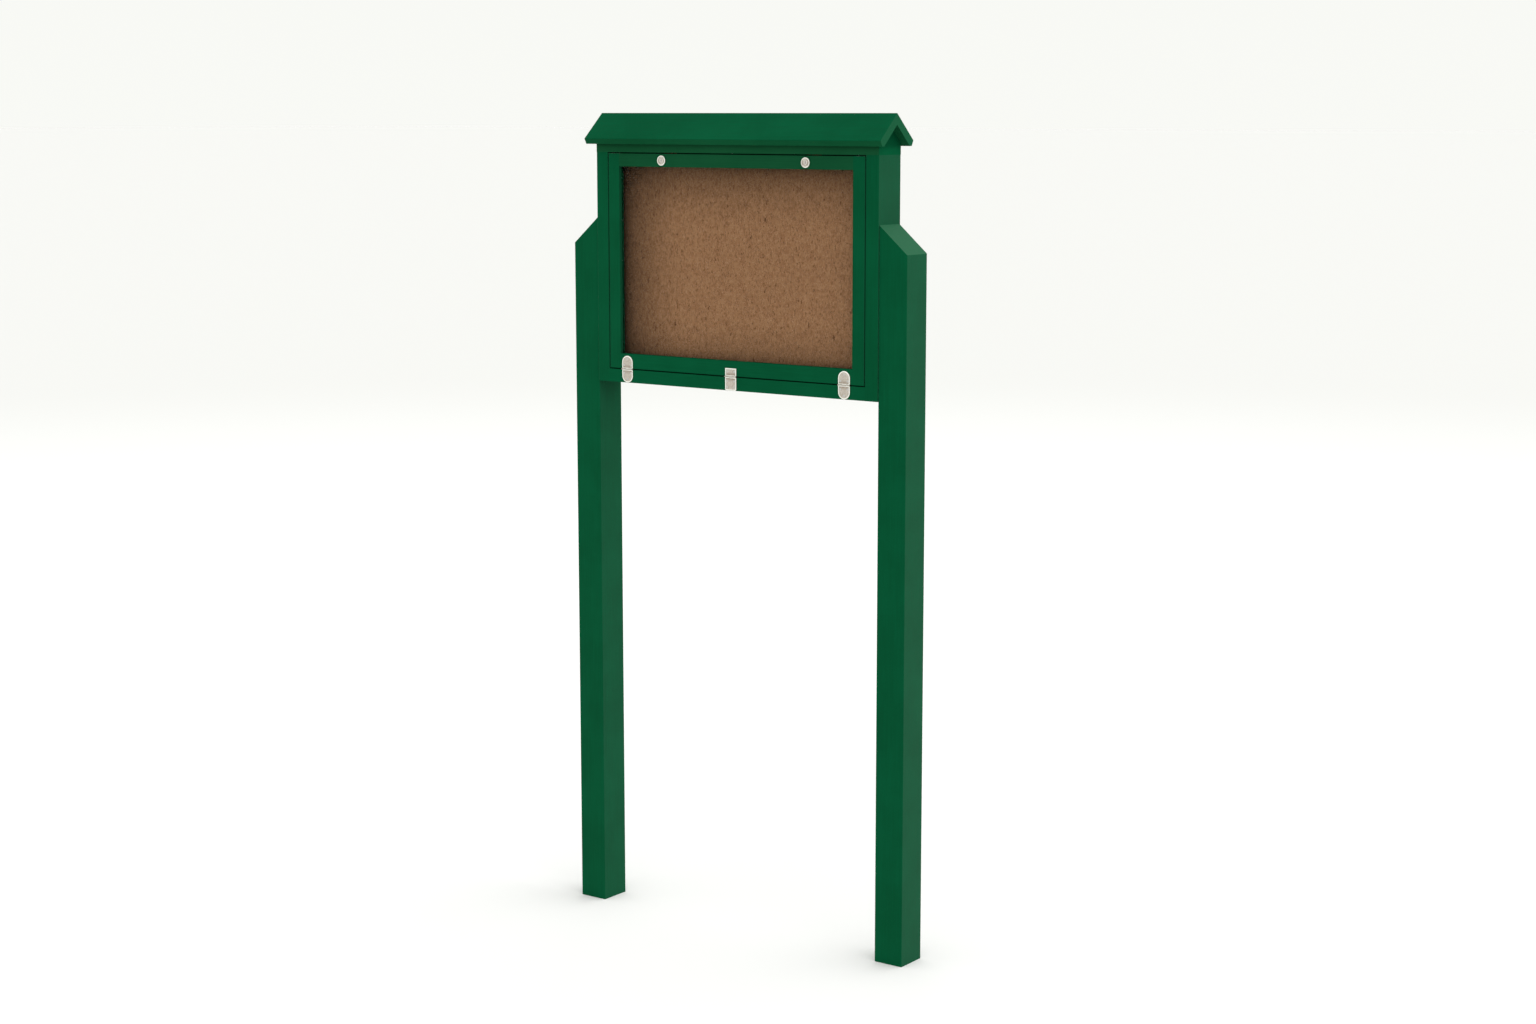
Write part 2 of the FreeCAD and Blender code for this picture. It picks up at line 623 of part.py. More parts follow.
STRAP_HOLES = ((-12, 11), (12, 11), (0, 29))
CENTRE_DOOR_HOLES = ((-12, 14), (12, 14))
CENTRE_FRAME_HOLES = ((-12, 12), (12, 12), (-12, 29), (12, 29))
ROUND_END = HINGE_WIDTH / 2 - 0.1
hinges = (
    ("left", -HINGE_X, STRAP_LENGTH, STRAP_LENGTH, ROUND_END, ROUND_END, STRAP_HOLES, STRAP_HOLES),
    ("centre", CENTRE_HINGE_X, CENTRE_DOOR_LEAF, CENTRE_FRAME_LEAF, 0, 4,
     CENTRE_DOOR_HOLES, CENTRE_FRAME_HOLES),
    ("right", HINGE_X, STRAP_LENGTH, STRAP_LENGTH, ROUND_END, ROUND_END, STRAP_HOLES, STRAP_HOLES),
)
hinge_door_fixings = []
hinge_frame_fixings = []
for name, x, up, down, up_corner, down_corner, up_holes, down_holes in hinges:
    door_screws = hinge_screws(x, 1, up_holes)
    frame_screws = hinge_screws(x, -1, down_holes)
    save(f"{name}_hinge_door_leaf", drilled(hinge_leaf(x, 1, up, up_corner, True), door_screws))
    save(f"{name}_hinge_frame_leaf",
         drilled(hinge_leaf(x, -1, down, down_corner, False), frame_screws))
    hinge_door_fixings += door_screws
    hinge_frame_fixings += frame_screws
save("hinge_pins", *[hinge_pin(x) for x in (-HINGE_X, CENTRE_HINGE_X, HINGE_X)])
save_fasteners("hinge_door_screws", hinge_door_fixings)
save_fasteners("hinge_frame_screws", hinge_frame_fixings)

stand_fixings = (bolts + carcass + roof_fixings + block_fixings + board_fixings + rear_fixings
                 + cleat_fixings + strike_fixings + hinge_frame_fixings)
for name, side in (("left", -1), ("right", 1)):
    save(f"{name}_post", post(side, bolts + carcass))
    save(f"{name}_side_board", side_board(side, stand_fixings))
save("top_board", top_board(stand_fixings))
bottom_rail = board((-INNER_X, INNER_X), (0, CABINET_DEPTH), (CABINET_BOTTOM, BOTTOM_RAIL_TOP))
save("bottom_rail", drilled(bottom_rail, stand_fixings))
save("front_roof_panel", roof_panel(-1, roof_fixings))
save("rear_roof_panel", roof_panel(1, roof_fixings))
block_end = HALF_WIDTH - BLOCK_THICKNESS / 2
save("roof_blocks", *[roof_block(x, block_fixings) for x in (-block_end, 0, block_end)])

inside_z = (BOTTOM_RAIL_TOP + SHEET_PLAY, TOP_BOARD_BOTTOM - SHEET_PLAY)
inside_x = (-INNER_X + SHEET_PLAY, INNER_X - SHEET_PLAY)
save("cork_board", drilled(board(inside_x, (CORK_FRONT, BACKER_FRONT), inside_z), board_fixings))
save("backer_sheet", drilled(board(inside_x, (BACKER_FRONT, BACKER_BACK), inside_z), board_fixings))
rear_panel = board(inside_x, (REAR_PANEL_FRONT, CABINET_DEPTH), inside_z)
save("rear_panel", drilled(rear_panel, rear_fixings))
inner_fixings = board_fixings + rear_fixings + cleat_fixings
for name, front in (("backer_cleats", BACKER_BACK), ("rear_cleats", REAR_PANEL_FRONT - CLEAT_THICKNESS)):
    cleats = frame_of_four(CLEAT_WIDTH, (front, front + CLEAT_THICKNESS), INNER_X,
                           BOTTOM_RAIL_TOP, TOP_BOARD_BOTTOM)
    save(name, *[drilled(cleat, inner_fixings) for cleat in cleats])
left_batten, right_batten, bottom_batten, top_battens = stop_battens(board_fixings)
save("left_stop_batten", left_batten)
save("right_stop_batten", right_batten)
save("bottom_stop_batten", bottom_batten)
save("top_stop_battens", *top_battens)
save("door_seal", *door_seal())
save("strike_plates", *[strike_plate(side * LOCK_X, strike_fixings) for side in (-1, 1)])

door_fixings = door_corner_screws()
bead_fixings = bead_screws()
door_members = door_frame(door_fixings + bead_fixings + hinge_door_fixings)
for name, member in zip(("left_stile", "right_stile", "bottom_door_rail", "top_door_rail"), door_members):
    save(name, member)
pane_x = (-WINDOW_HALF_WIDTH - PANE_LAP, WINDOW_HALF_WIDTH + PANE_LAP)
save("window_pane", board(pane_x, (PANE_FRONT, PANE_BACK), (WINDOW_BOTTOM - PANE_LAP, WINDOW_TOP + PANE_LAP)))
for name, bead in zip(("left", "right", "bottom", "top"), glazing_beads(bead_fixings)):
    save(f"{name}_glazing_bead", bead)
save_fasteners("bead_screws", bead_fixings)
save_fasteners("door_corner_screws", door_fixings)

for name, side in (("left", -1), ("right", 1)):
    x = side * LOCK_X
    save(f"{name}_lock_body", lock_body(x))
    save(f"{name}_lock_plug", lock_plug(x))
    save(f"{name}_lock_cam", lock_cam(x))
    save(f"{name}_cam_screw", cam_screw(x))
save("lock_nuts", *[lock_nut(side * LOCK_X) for side in (-1, 1)])

save_fasteners("post_bolts", bolts)
save("post_washers", *washers)
save_fasteners("carcass_screws", carcass)
save_fasteners("roof_panel_screws", roof_fixings)
save_fasteners("roof_block_screws", block_fixings)
save_fasteners("board_screws", board_fixings)
save_fasteners("rear_panel_screws", rear_fixings)
save_fasteners("cleat_screws", cleat_fixings)
save_fasteners("strike_screws", strike_fixings)
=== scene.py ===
import json
import math

import bmesh
import bpy
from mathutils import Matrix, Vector, noise


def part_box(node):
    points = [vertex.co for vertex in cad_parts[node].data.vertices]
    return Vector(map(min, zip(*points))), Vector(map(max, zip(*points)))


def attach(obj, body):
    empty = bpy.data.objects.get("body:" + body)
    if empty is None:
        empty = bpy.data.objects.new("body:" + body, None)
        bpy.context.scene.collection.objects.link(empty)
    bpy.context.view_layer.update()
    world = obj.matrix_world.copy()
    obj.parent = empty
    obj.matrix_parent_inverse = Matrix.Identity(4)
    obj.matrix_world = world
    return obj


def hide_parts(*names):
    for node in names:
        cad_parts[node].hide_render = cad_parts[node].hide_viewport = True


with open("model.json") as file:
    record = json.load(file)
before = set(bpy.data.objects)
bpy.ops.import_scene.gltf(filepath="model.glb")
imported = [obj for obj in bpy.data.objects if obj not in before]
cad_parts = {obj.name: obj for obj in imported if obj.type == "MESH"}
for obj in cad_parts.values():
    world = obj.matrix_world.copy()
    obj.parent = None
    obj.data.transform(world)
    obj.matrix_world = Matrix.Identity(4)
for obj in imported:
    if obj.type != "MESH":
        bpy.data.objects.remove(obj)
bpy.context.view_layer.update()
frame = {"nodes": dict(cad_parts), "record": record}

# The looks of a message centre on two posts. Metres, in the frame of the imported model.

STAND = "stand"
FRONT_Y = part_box("left_side_board")[0][1]
CORK_LOW, CORK_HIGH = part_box("cork_board")
WINDOW_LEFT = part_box("left_stile")[1][0]
WINDOW_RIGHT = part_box("right_stile")[0][0]
WINDOW_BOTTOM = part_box("bottom_door_rail")[1][2]
WINDOW_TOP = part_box("top_door_rail")[0][2]


# ---------------------------------------------------------------- studio

CAMERA_PLACE = (4.283, -5.795, 2.337)
CAMERA_YAW = 35.93
CAMERA_DROP = 8.85
CAMERA_LENS = 60.28
SENSOR_WIDTH = 36.0
SUN_FROM = (0.33, 0.12, 0.93)
SUN_POWER = 2.8
SUN_SPREAD = 100
HORIZON = (0.945, 0.952, 0.915, 1)
OVERHEAD = (0.90, 0.91, 0.88, 1)
OVERHEAD_RISE = 0.5
FLOOR_HALF = 300.0
FLOOR_NEAR = 7.0
FLOOR_FAR = 16.0
# Painted pool of light on the floor: palest near the object, duller far off.
FLOOR_LIT_POOL = (0.630, 0.630, 0.626, 1)
FLOOR_DISTANT = (0.544, 0.5435, 0.533, 1)


def link_object(thing):
    bpy.context.scene.collection.objects.link(thing)
    return thing


def make_camera():
    data = bpy.data.cameras.new("camera")
    data.lens = CAMERA_LENS
    data.sensor_width = SENSOR_WIDTH
    data.clip_end = 4 * FLOOR_HALF
    camera = link_object(bpy.data.objects.new("camera", data))
    camera.location = CAMERA_PLACE
    camera.rotation_euler = (math.radians(90 - CAMERA_DROP), 0, math.radians(CAMERA_YAW))
    bpy.context.scene.camera = camera


def make_sun():
    """One very wide overhead light, as soft as a studio ceiling."""
    data = bpy.data.lights.new("ceiling", "SUN")
    data.energy = SUN_POWER
    data.angle = math.radians(SUN_SPREAD)
    sun = link_object(bpy.data.objects.new("ceiling", data))
    sun.rotation_euler = Vector(SUN_FROM).to_track_quat("Z", "Y").to_euler()


def make_world():
    """A pale studio all round, a little darker overhead than at the floor's edge."""
    world = bpy.data.worlds.new("studio")
    world.use_nodes = True
    tree = world.node_tree
    background = tree.nodes["Background"]
    coords = tree.nodes.new("ShaderNodeTexCoord")
    split = tree.nodes.new("ShaderNodeSeparateXYZ")
    rise = tree.nodes.new("ShaderNodeMapRange")
    blend = tree.nodes.new("ShaderNodeMix")
    blend.data_type = "RGBA"
    rise.inputs["From Max"].default_value = OVERHEAD_RISE
    blend.inputs["A"].default_value = HORIZON
    blend.inputs["B"].default_value = OVERHEAD
    tree.links.new(coords.outputs["Generated"], split.inputs["Vector"])
    tree.links.new(split.outputs["Z"], rise.inputs["Value"])
    tree.links.new(rise.outputs["Result"], blend.inputs["Factor"])
    tree.links.new(blend.outputs["Result"], background.inputs["Color"])
    bpy.context.scene.world = world


# ---------------------------------------------------------------- material kit

class Paint:
    """A node material being made: its tree, its shader and a place on the piece."""

    def __init__(self, name, roughness=0.5, metallic=0.0, specular=0.04):
        self.material = bpy.data.materials.new(name)
        self.material.use_nodes = True
        self.tree = self.material.node_tree
        self.shader = self.tree.nodes["Principled BSDF"]
        self.shader.inputs["Roughness"].default_value = roughness
        self.shader.inputs["Metallic"].default_value = metallic
        self.shader.inputs["Specular IOR Level"].default_value = specular
        self.place = self.tree.nodes.new("ShaderNodeTexCoord").outputs["Object"]

    def wire(self, value, socket):
        """Links an output to an input, or sets the input's value."""
        if isinstance(value, bpy.types.NodeSocket):
            self.tree.links.new(value, socket)
        else:
            socket.default_value = value

    def stretched(self, scale):
        node = self.tree.nodes.new("ShaderNodeMapping")
        self.wire(self.place, node.inputs["Vector"])
        node.inputs["Scale"].default_value = scale
        return node.outputs["Vector"]

    def noise(self, scale, detail=3.0, rough=0.55, warp=0.0):
        """Noise with its own frequency per metre along X, Y and Z."""
        node = self.tree.nodes.new("ShaderNodeTexNoise")
        self.wire(self.stretched(scale), node.inputs["Vector"])
        node.inputs["Scale"].default_value = 1.0
        node.inputs["Detail"].default_value = detail
        node.inputs["Roughness"].default_value = rough
        node.inputs["Distortion"].default_value = warp
        return node.outputs["Fac"]

    def cells(self, scale):
        node = self.tree.nodes.new("ShaderNodeTexVoronoi")
        self.wire(self.stretched(scale), node.inputs["Vector"])
        node.inputs["Scale"].default_value = 1.0
        return node.outputs["Distance"]

    def outlook(self, name):
        """How squarely the surface looks up one axis of the piece, negative for down it."""
        node = self.tree.nodes.new("ShaderNodeSeparateXYZ")
        coords = self.tree.nodes["Texture Coordinate"]
        self.wire(coords.outputs["Normal"], node.inputs["Vector"])
        return node.outputs[name]

    def facing(self, name):
        """How squarely the surface looks along one axis of the piece, either way."""
        return self.maths("ABSOLUTE", self.outlook(name))

    def axis(self, name):
        node = self.tree.nodes.new("ShaderNodeSeparateXYZ")
        self.wire(self.place, node.inputs["Vector"])
        return node.outputs[name]

    def ramp(self, value, low, high, to_low=0.0, to_high=1.0, smooth=True):
        """The value's range low to high, mapped to another range and held at its ends."""
        node = self.tree.nodes.new("ShaderNodeMapRange")
        node.interpolation_type = "SMOOTHSTEP" if smooth else "LINEAR"
        self.wire(value, node.inputs["Value"])
        node.inputs["From Min"].default_value = low
        node.inputs["From Max"].default_value = high
        node.inputs["To Min"].default_value = to_low
        node.inputs["To Max"].default_value = to_high
        return node.outputs["Result"]

    def maths(self, operation, a, b=0.0):
        node = self.tree.nodes.new("ShaderNodeMath")
        node.operation = operation
        self.wire(a, node.inputs[0])
        self.wire(b, node.inputs[1])
        return node.outputs["Value"]

    def times(self, a, b):
        return self.maths("MULTIPLY", a, b)

    def plus(self, a, b):
        return self.maths("ADD", a, b)

    def mix(self, factor, a, b, kind="MIX"):
        node = self.tree.nodes.new("ShaderNodeMix")
        node.data_type = "RGBA"
        node.blend_type = kind
        self.wire(factor, node.inputs["Factor"])
        self.wire(a, node.inputs["A"])
        self.wire(b, node.inputs["B"])
        return node.outputs["Result"]

    def grey(self, value):
        """A number as a grey colour."""
        node = self.tree.nodes.new("ShaderNodeCombineColor")
        for channel in ("Red", "Green", "Blue"):
            self.wire(value, node.inputs[channel])
        return node.outputs["Color"]

    def bump(self, height, distance, strength=1.0):
        node = self.tree.nodes.new("ShaderNodeBump")
        node.inputs["Distance"].default_value = distance
        node.inputs["Strength"].default_value = strength
        self.wire(height, node.inputs["Height"])
        self.wire(node.outputs["Normal"], self.shader.inputs["Normal"])

    def colour(self, value):
        self.wire(value, self.shader.inputs["Base Color"])

    def roughness(self, value):
        self.wire(value, self.shader.inputs["Roughness"])


# ---------------------------------------------------------------- materials

# Each pair is the darker and the lighter tone of one finish.
LUMBER = ((0.0003, 0.0620, 0.0224, 1), (0.0006, 0.0750, 0.0282, 1))
# A darker copy of the lumber for the roof: painted shade, offsetting the stronger light on its
# up-facing slopes.
ROOF_LUMBER = ((0.0003, 0.0550, 0.0204, 1), (0.0006, 0.0670, 0.0258, 1))
# Painted sheen: paler, greyer tones for faces that look sideways.
SIDE_SHEEN_LUMBER = ((0.0040, 0.0620, 0.0262, 1), (0.0044, 0.0750, 0.0322, 1))
# Lighter copies of the lumber for boards without sheen: a painted sheen in their tones, with more
# red in the rail's and header's.
LEVEL_LUMBER = ((0.0019, 0.0655, 0.0250, 1), (0.0023, 0.0790, 0.0310, 1))
RAIL_LUMBER = ((0.0050, 0.0600, 0.0228, 1), (0.0066, 0.0706, 0.0273, 1))
HEADER_LUMBER = ((0.0064, 0.0670, 0.0250, 1), (0.0082, 0.0784, 0.0298, 1))
# Painted light: lighter tones for faces that look down, under the eave.
UNDER_LIT_LUMBER = ((0.0035, 0.0620, 0.0225, 1), (0.0048, 0.0740, 0.0275, 1))
SAWN_LUMBER = ((0.001, 0.045, 0.018, 1), (0.006, 0.085, 0.036, 1))
PALE_CUT = (0.0103, 0.0873, 0.0385, 1)
GRAIN_ALONG = 9.0
GRAIN_ACROSS = 420.0
# Painted shade under the eave, on the top board and the gable blocks: where it starts, where it
# is full, and how dark it gets.
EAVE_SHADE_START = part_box("top_board")[0][2] + 0.010
EAVE_SHADE_FULL = EAVE_SHADE_START + 0.018
EAVE_SHADE_TONE = 0.66
# How far a face has to turn to an axis before it takes that axis's finish.
TURNED = (0.5, 0.65)
TURNED_DOWN = (-0.5, -0.35)


def lumber(name, along, tones=LUMBER, sides=None, under=None, cut=PALE_CUT,
           specular=0.016, sheen=0.25, eave_shaded=False):
    """Moulded plastic lumber: deep green, faint streaks along the board, chalkier cut ends.

    sides and under are tones with painted light, where given: a painted sheen on faces that look
    sideways and painted light on faces that look down.
    An eave-shaded board has painted shade that darkens it towards its top, under the eave.
    """
    paint = Paint(name, specular=specular)
    paint.shader.inputs["Sheen Weight"].default_value = sheen
    paint.shader.inputs["Sheen Roughness"].default_value = 0.3
    streak_scale = [GRAIN_ACROSS] * 3
    streak_scale["XYZ".index(along)] = GRAIN_ALONG
    streaks = paint.noise(streak_scale, detail=4, rough=0.6)
    clouds = paint.noise([7.0] * 3, detail=3)
    specks = paint.noise([900.0] * 3, detail=2)
    tone = paint.plus(paint.times(streaks, 0.45), paint.times(clouds, 0.55))
    tone = paint.ramp(tone, 0.35, 0.65)
    skin = paint.mix(tone, *tones)
    if sides:
        # Painted sheen on the faces that look sideways.
        skin = paint.mix(paint.ramp(paint.facing("X"), *TURNED), skin, paint.mix(tone, *sides))
    if under:
        # Painted light on the faces that look down.
        skin = paint.mix(paint.ramp(paint.outlook("Z"), *TURNED_DOWN, 1.0, 0.0), skin,
                         paint.mix(tone, *under))
    sawn = paint.mix(paint.ramp(specks, 0.3, 0.7, 0.0, 0.25), cut, tones[0])
    face = paint.mix(paint.ramp(paint.facing(along), *TURNED), skin, sawn)
    if eave_shaded:
        # Painted shade under the eave: the board darkens towards its top.
        eave_shade = paint.ramp(paint.axis("Z"), EAVE_SHADE_START, EAVE_SHADE_FULL, 1.0, EAVE_SHADE_TONE)
        face = paint.mix(1.0, face, paint.grey(eave_shade), "MULTIPLY")
    paint.colour(face)
    paint.roughness(paint.ramp(streaks, 0.3, 0.7, 0.42, 0.58))
    height = paint.plus(paint.times(streaks, 0.7), paint.times(specks, 0.3))
    paint.bump(height, 0.0005, 0.35)
    return paint.material


def sawn_lumber(name):
    """The unseen strips: the same plastic, sawn and a little paler."""
    paint = Paint(name, roughness=0.7)
    saw = paint.noise([160] * 3, detail=5, rough=0.7)
    paint.colour(paint.mix(saw, *SAWN_LUMBER))
    paint.bump(saw, 0.0006, 0.5)
    return paint.material


CORK_LIGHT = (0.386, 0.201, 0.099, 1)
CORK_MID = (0.282, 0.141, 0.067, 1)
CORK_DARK = (0.078, 0.034, 0.014, 1)
CORK_PALE = (0.530, 0.310, 0.180, 1)
# How the painted shadow of the frame falls off away from an edge.
SHADOW_FALLOFF = 1.6
# How far the painted shadow of each edge of the frame reaches over the board, and how much it
# darkens the board at that edge.
FRAME_SHADOW_LEFT = (0.22, 0.77)
FRAME_SHADOW_RIGHT = (0.15, 0.18)
FRAME_SHADOW_TOP = (0.18, 0.60)
FRAME_SHADOW_BOTTOM = (0.12, 0.36)


def edge_shadow(paint, distance, width, depth):
    """Painted shadow of one edge of the frame: one in the open, and less by depth at the edge."""
    shade = paint.ramp(distance, 0.0, width, 1.0, 0.0, smooth=False)
    power = paint.maths("POWER", shade, SHADOW_FALLOFF)
    return paint.plus(paint.times(power, -depth), 1.0)


def frame_shadow(paint):
    """Painted shadow of the frame on the board: darker beside the frame's edges."""
    x = paint.axis("X")
    z = paint.axis("Z")
    left = edge_shadow(paint, paint.plus(x, -WINDOW_LEFT), *FRAME_SHADOW_LEFT)
    right = edge_shadow(paint, paint.plus(paint.times(x, -1.0), WINDOW_RIGHT), *FRAME_SHADOW_RIGHT)
    top = edge_shadow(paint, paint.plus(paint.times(z, -1.0), WINDOW_TOP), *FRAME_SHADOW_TOP)
    bottom = edge_shadow(paint, paint.plus(z, -WINDOW_BOTTOM), *FRAME_SHADOW_BOTTOM)
    return paint.times(paint.times(left, right), paint.times(top, bottom))


def cork():
    """Pressed brown fibre, mottled, with short dark upright flecks, and the frame's shadow
    painted in round its edges.
    """
    paint = Paint("cork", roughness=0.85)
    mottle = paint.noise([90, 90, 60], detail=5, rough=0.65, warp=0.8)
    threads = paint.noise([330, 330, 110], detail=3, rough=0.6, warp=0.7)
    crumbs = paint.noise([430, 430, 330], detail=2)
    flecks = paint.noise([170, 170, 75], detail=2, rough=0.5, warp=1.0)
    body = paint.mix(paint.ramp(mottle, 0.32, 0.66), CORK_MID, CORK_LIGHT)
    body = paint.mix(paint.ramp(threads, 0.50, 0.70, 0.0, 0.62), body, CORK_DARK)
    body = paint.mix(paint.ramp(flecks, 0.63, 0.70, 0.0, 0.80), body, CORK_DARK)
    body = paint.mix(paint.ramp(crumbs, 0.54, 0.70, 0.0, 0.55), body, CORK_PALE)
    # The board's colour is darkened by the painted shadow of the frame round its edges.
    paint.colour(paint.mix(1.0, body, paint.grey(frame_shadow(paint)), "MULTIPLY"))
    height = paint.plus(paint.times(threads, -0.6), paint.times(crumbs, 0.4))
    paint.bump(height, 0.0006, 0.5)
    return paint.material


BACKER = ((0.30, 0.30, 0.28, 1), (0.38, 0.38, 0.36, 1))
PANE = ((0.03, 0.035, 0.034, 1), (0.05, 0.055, 0.053, 1))
RUBBER = ((0.0008, 0.0070, 0.0034, 1), (0.0020, 0.0150, 0.0075, 1))


def sheet(name, dark, light):
    """Flat moulded sheet with a fine orange-peel surface."""
    paint = Paint(name, roughness=0.6)
    peel = paint.noise([260] * 3, detail=3)
    paint.colour(paint.mix(peel, dark, light))
    paint.bump(peel, 0.0003, 0.3)
    return paint.material


def clear_pane():
    """Clear polycarbonate: almost unseen face on, glossy at a shallow angle."""
    paint = Paint("pane", roughness=0.06, specular=0.5)
    paint.colour(paint.mix(paint.noise([3] * 3), *PANE))
    facing = paint.tree.nodes.new("ShaderNodeLayerWeight")
    facing.inputs["Blend"].default_value = 0.25
    alpha = paint.ramp(facing.outputs["Fresnel"], 0.02, 0.8, 0.02, 0.45, smooth=False)
    paint.wire(alpha, paint.shader.inputs["Alpha"])
    return paint.material


def rubber():
    """Matt green-black sponge with open pores."""
    paint = Paint("rubber", roughness=0.9, specular=0.0)
    pores = paint.cells([900] * 3)
    paint.colour(paint.mix(pores, *RUBBER))
    paint.bump(pores, 0.0002, 0.4)
    return paint.material


RIM_STEEL = (0.93, 0.935, 0.875, 1)
FIELD_LIGHT = (0.57, 0.51, 0.45, 1)
FIELD_DARK = (0.40, 0.345, 0.28, 1)
LOCK_LIGHT = (0.78, 0.745, 0.68, 1)
LOCK_DARK = (0.60, 0.56, 0.49, 1)
PLATE_DARK_MARK = (0.24, 0.17, 0.12, 1)
SCREW_STEEL = ((0.50, 0.50, 0.49, 1), (0.66, 0.65, 0.63, 1))
NICKEL = ((0.58, 0.54, 0.50, 1), (0.76, 0.72, 0.67, 1))
ZINC = ((0.46, 0.47, 0.49, 1), (0.63, 0.64, 0.66, 1))


def stamped_steel(name, rim_y, field_y, middle_z, dark=FIELD_DARK, light=FIELD_LIGHT):
    """Stainless plate with a bright rim and a duller, mottled field set back behind it.

    The plate is darker in mottled patches round its middle height, and darker at its foremost
    edge, the knuckle.
    """
    paint = Paint(name, metallic=1.0, specular=0.5)
    brushing = paint.noise([2600, 2600, 60], detail=3)
    mottle = paint.noise([190, 190, 150], detail=4, rough=0.65, warp=1.2)
    field = paint.mix(paint.ramp(mottle, 0.36, 0.62), dark, light)
    field = paint.mix(paint.times(brushing, 0.2), field, RIM_STEEL)
    near = paint.maths("ABSOLUTE", paint.plus(paint.axis("Z"), -middle_z))
    middle_band = paint.times(paint.ramp(near, 0.004, 0.016, 1.0, 0.0), paint.ramp(mottle, 0.38, 0.56))
    field = paint.mix(paint.times(middle_band, 0.75), field, PLATE_DARK_MARK)
    y = paint.axis("Y")
    step = paint.ramp(y, rim_y, field_y)
    proud = paint.ramp(y, rim_y - 0.0004, rim_y - 0.0001, 0.6, 0.0)
    plate = paint.mix(step, RIM_STEEL, field)
    paint.colour(paint.mix(proud, plate, PLATE_DARK_MARK))
    paint.roughness(paint.ramp(mottle, 0.3, 0.7, 0.30, 0.46))
    paint.bump(brushing, 0.00008, 0.5)
    return paint.material


def metal(name, dark, light, low, high):
    """Plain plated or turned metal with fine tool marks."""
    paint = Paint(name, metallic=1.0, specular=0.5)
    marks = paint.noise([900] * 3, detail=3)
    paint.colour(paint.mix(marks, dark, light))
    paint.roughness(paint.ramp(marks, 0.3, 0.7, low, high))
    paint.bump(marks, 0.00006, 0.5)
    return paint.material


def floor_material():
    """Matt pale floor with a painted pool of light: whitest round the object, duller far off."""
    paint = Paint("floor", roughness=0.95)
    length = paint.tree.nodes.new("ShaderNodeVectorMath")
    length.operation = "LENGTH"
    paint.wire(paint.place, length.inputs[0])
    away = paint.ramp(length.outputs["Value"], FLOOR_NEAR, FLOOR_FAR)
    # Painted pool of light: the floor's colour pales towards the object.
    paint.colour(paint.mix(away, FLOOR_LIT_POOL, FLOOR_DISTANT))
    return paint.material


# ---------------------------------------------------------------- pieces

def piece(name, mesh, body, slot, material, *replaced):
    """Adds a mesh as a piece that rides a body and stands for some nodes."""
    thing = link_object(bpy.data.objects.new(name, mesh))
    mesh.materials.append(material)
    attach(thing, body)
    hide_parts(*replaced)
    return thing


CORK_PITCH = 0.0025
CORK_RELIEF = 0.0006
# Fibres per metre across and up the board.
COARSE_FIBRE = (130, 90)
FINE_FIBRE = (330, 120)


def cork_relief(x, z):
    """How far the fibre sinks below the board's face at a place."""
    coarse = noise.noise(Vector((x * COARSE_FIBRE[0], 3.0, z * COARSE_FIBRE[1])))
    fine = noise.noise(Vector((x * FINE_FIBRE[0], 9.0, z * FINE_FIBRE[1])))
    return CORK_RELIEF * min(1.0, max(0.0, 0.5 + 0.35 * coarse + 0.4 * fine))


def make_cork(material):
    """The pin board: a sheet whose face has the relief of pressed fibre."""
    across = round((CORK_HIGH[0] - CORK_LOW[0]) / CORK_PITCH)
    up = round((CORK_HIGH[2] - CORK_LOW[2]) / CORK_PITCH)
    places = []
    for row in range(up + 1):
        z = CORK_LOW[2] + (CORK_HIGH[2] - CORK_LOW[2]) * row / up
        for column in range(across + 1):
            x = CORK_LOW[0] + (CORK_HIGH[0] - CORK_LOW[0]) * column / across
            rim = row in (0, up) or column in (0, across)
            y = CORK_LOW[1] + (0 if rim else cork_relief(x, z))
            places.append((x, y, z))
    wide = across + 1
    faces = [(r * wide + c, r * wide + c + 1, (r + 1) * wide + c + 1, (r + 1) * wide + c)
             for r in range(up) for c in range(across)]
    mesh = bpy.data.meshes.new("pin_board")
    mesh.from_pydata(places, [], faces)
    bm = bmesh.new()
    bm.from_mesh(mesh)
    edges = [edge for edge in bm.edges if edge.is_boundary]
    grown = bmesh.ops.extrude_edge_only(bm, edges=edges)["geom"]
    back = [v for v in grown if isinstance(v, bmesh.types.BMVert)]
    for vert in back:
        vert.co.y = CORK_HIGH[1]
    bmesh.ops.contextual_create(bm, geom=[e for e in grown if isinstance(e, bmesh.types.BMEdge)])
    bmesh.ops.recalc_face_normals(bm, faces=bm.faces)
    for face in bm.faces:
        face.smooth = abs(face.normal.y) > 0.5 and len(face.verts) == 4
    bm.to_mesh(mesh)
    bm.free()
    piece("pin_board", mesh, STAND, "cork", material, "cork_board")


SAME_PLANE = 1e-6
FACES_FRONT = -0.9


def front_patches(node):
    """The outline boxes of a node's separate flat faces that look to the front."""
    bm = bmesh.new()
    bm.from_mesh(frame["nodes"][node].data)
    front = min(vert.co.y for vert in bm.verts)
    left = {vert for vert in bm.verts
            if vert.co.y < front + SAME_PLANE and vert.normal.y < FACES_FRONT}
    patches = []
    while left:
        group = {left.pop()}
        queue = list(group)
        while queue:
            for edge in queue.pop().link_edges:
                for vert in edge.verts:
                    if vert in left:
                        left.remove(vert)
                        group.add(vert)
                        queue.append(vert)
        low = Vector([min(vert.co[i] for vert in group) for i in range(3)])
        high = Vector([max(vert.co[i] for vert in group) for i in range(3)])
        patches.append((low, high))
    bm.free()
    return sorted(patches, key=lambda patch: tuple(patch[0]))


SEAL_STEPS = 10


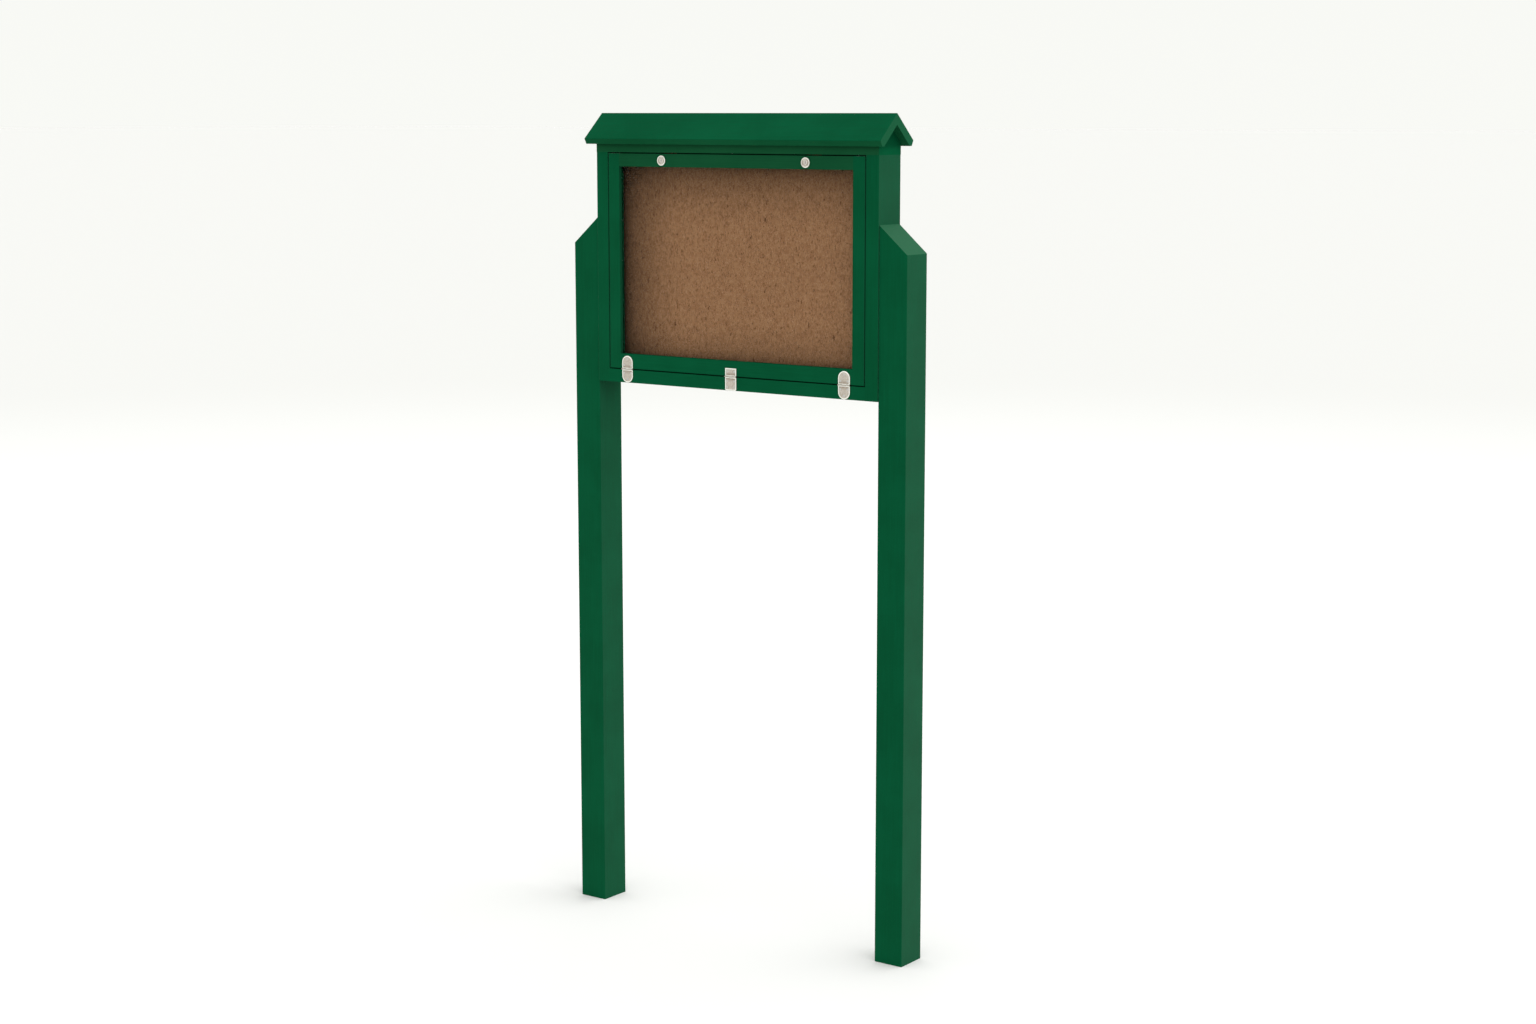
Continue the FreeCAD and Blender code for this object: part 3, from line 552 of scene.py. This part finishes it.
def seal_strip(bm, low, high, back):
    """One strip with a domed face towards the door."""
    along = 0 if high.x - low.x > high.z - low.z else 2
    across = 2 - along
    middle = (low[across] + high[across]) / 2
    half = (high[across] - low[across]) / 2
    rings = []
    for end in (low[along], high[along]):
        ring = []
        for step in range(SEAL_STEPS + 1):
            angle = math.pi * step / SEAL_STEPS
            place = Vector((0, back - (back - low.y) * math.sin(angle), 0))
            place[along] = end
            place[across] = middle + half * math.cos(angle)
            ring.append(bm.verts.new(place))
        rings.append(ring)
    count = SEAL_STEPS + 1
    for step in range(count):
        after = (step + 1) % count
        face = bm.faces.new((rings[0][step], rings[0][after], rings[1][after], rings[1][step]))
        face.smooth = step < SEAL_STEPS
    bm.faces.new(rings[0])
    bm.faces.new(rings[1][::-1])


def make_seal(material):
    bm = bmesh.new()
    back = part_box("door_seal")[1][1]
    for low, high in front_patches("door_seal"):
        seal_strip(bm, low, high, back)
    bmesh.ops.recalc_face_normals(bm, faces=bm.faces)
    mesh = bpy.data.meshes.new("door_seal_strips")
    bm.to_mesh(mesh)
    bm.free()
    piece("door_seal_strips", mesh, STAND, "seal", material, "door_seal")


def make_floor():
    mesh = bpy.data.meshes.new("floor")
    h = FLOOR_HALF
    mesh.from_pydata([(-h, -h, 0), (h, -h, 0), (h, h, 0), (-h, h, 0)], [], [(0, 1, 2, 3)])
    mesh.materials.append(floor_material())
    link_object(bpy.data.objects.new("floor", mesh))


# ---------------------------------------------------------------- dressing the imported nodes

# How far the rims and fields of the fittings stand proud of the cabinet's front.
LEAF_RIM = 0.0016
LEAF_FIELD = 0.0013
LOCK_RIM = 0.0032
LOCK_FIELD = 0.0027


def middle_height(node):
    low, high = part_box(node)
    return (low[2] + high[2]) / 2


def dress():
    """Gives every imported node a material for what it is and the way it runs."""
    upright = lumber("lumber_upright", "Z", sides=SIDE_SHEEN_LUMBER)
    level = lumber("lumber_level", "X", LEVEL_LUMBER, specular=0.004, sheen=0.0)
    plain = {
        "post_lumber": upright,
        "cabinet_lumber": level,
        "door_lumber": level,
        "roof_lumber": lumber("lumber_roof", "X", ROOF_LUMBER, under=UNDER_LIT_LUMBER,
                              specular=0.008, sheen=0.02),
        "inner_lumber": sawn_lumber("sawn_lumber"),
        "backer": sheet("backer", *BACKER),
        "rear_sheet": lumber("rear_sheet", "X"),
        "pane": clear_pane(),
        "hinge_steel": stamped_steel("hinge_steel", FRONT_Y - LEAF_RIM, FRONT_Y - LEAF_FIELD,
                                     middle_height("hinge_pins")),
        "lock_steel": stamped_steel("lock_steel", FRONT_Y - LOCK_RIM, FRONT_Y - LOCK_FIELD,
                                    middle_height("left_lock_body"), LOCK_DARK, LOCK_LIGHT),
        "plug_brass": metal("nickel", *NICKEL, 0.25, 0.40),
        "zinc_steel": metal("zinc", *ZINC, 0.30, 0.50),
        "screw_steel": metal("screw_steel", *SCREW_STEEL, 0.28, 0.42),
    }
    special = dict.fromkeys(
        ("left_side_board", "right_side_board", "left_stile", "right_stile"), upright)
    special["top_door_rail"] = lumber("lumber_rail", "X", RAIL_LUMBER, specular=0.004, sheen=0.0)
    # The top board and gable blocks carry the painted shade under the eave.
    special["top_board"] = special["roof_blocks"] = lumber(
        "lumber_header", "X", HEADER_LUMBER, cut=LUMBER[1], specular=0.004, sheen=0.0,
        eave_shaded=True)
    for row in frame["record"]["subparts"]:
        node = row["node"]
        material = special.get(node) or plain.get(row["material_slot"])
        if material:
            thing = frame["nodes"][node]
            thing.data.materials.clear()
            thing.data.materials.append(material)


make_camera()
make_sun()
make_world()
make_floor()
bpy.context.scene.view_settings.view_transform = "Standard"
dress()
make_cork(cork())
make_seal(rubber())
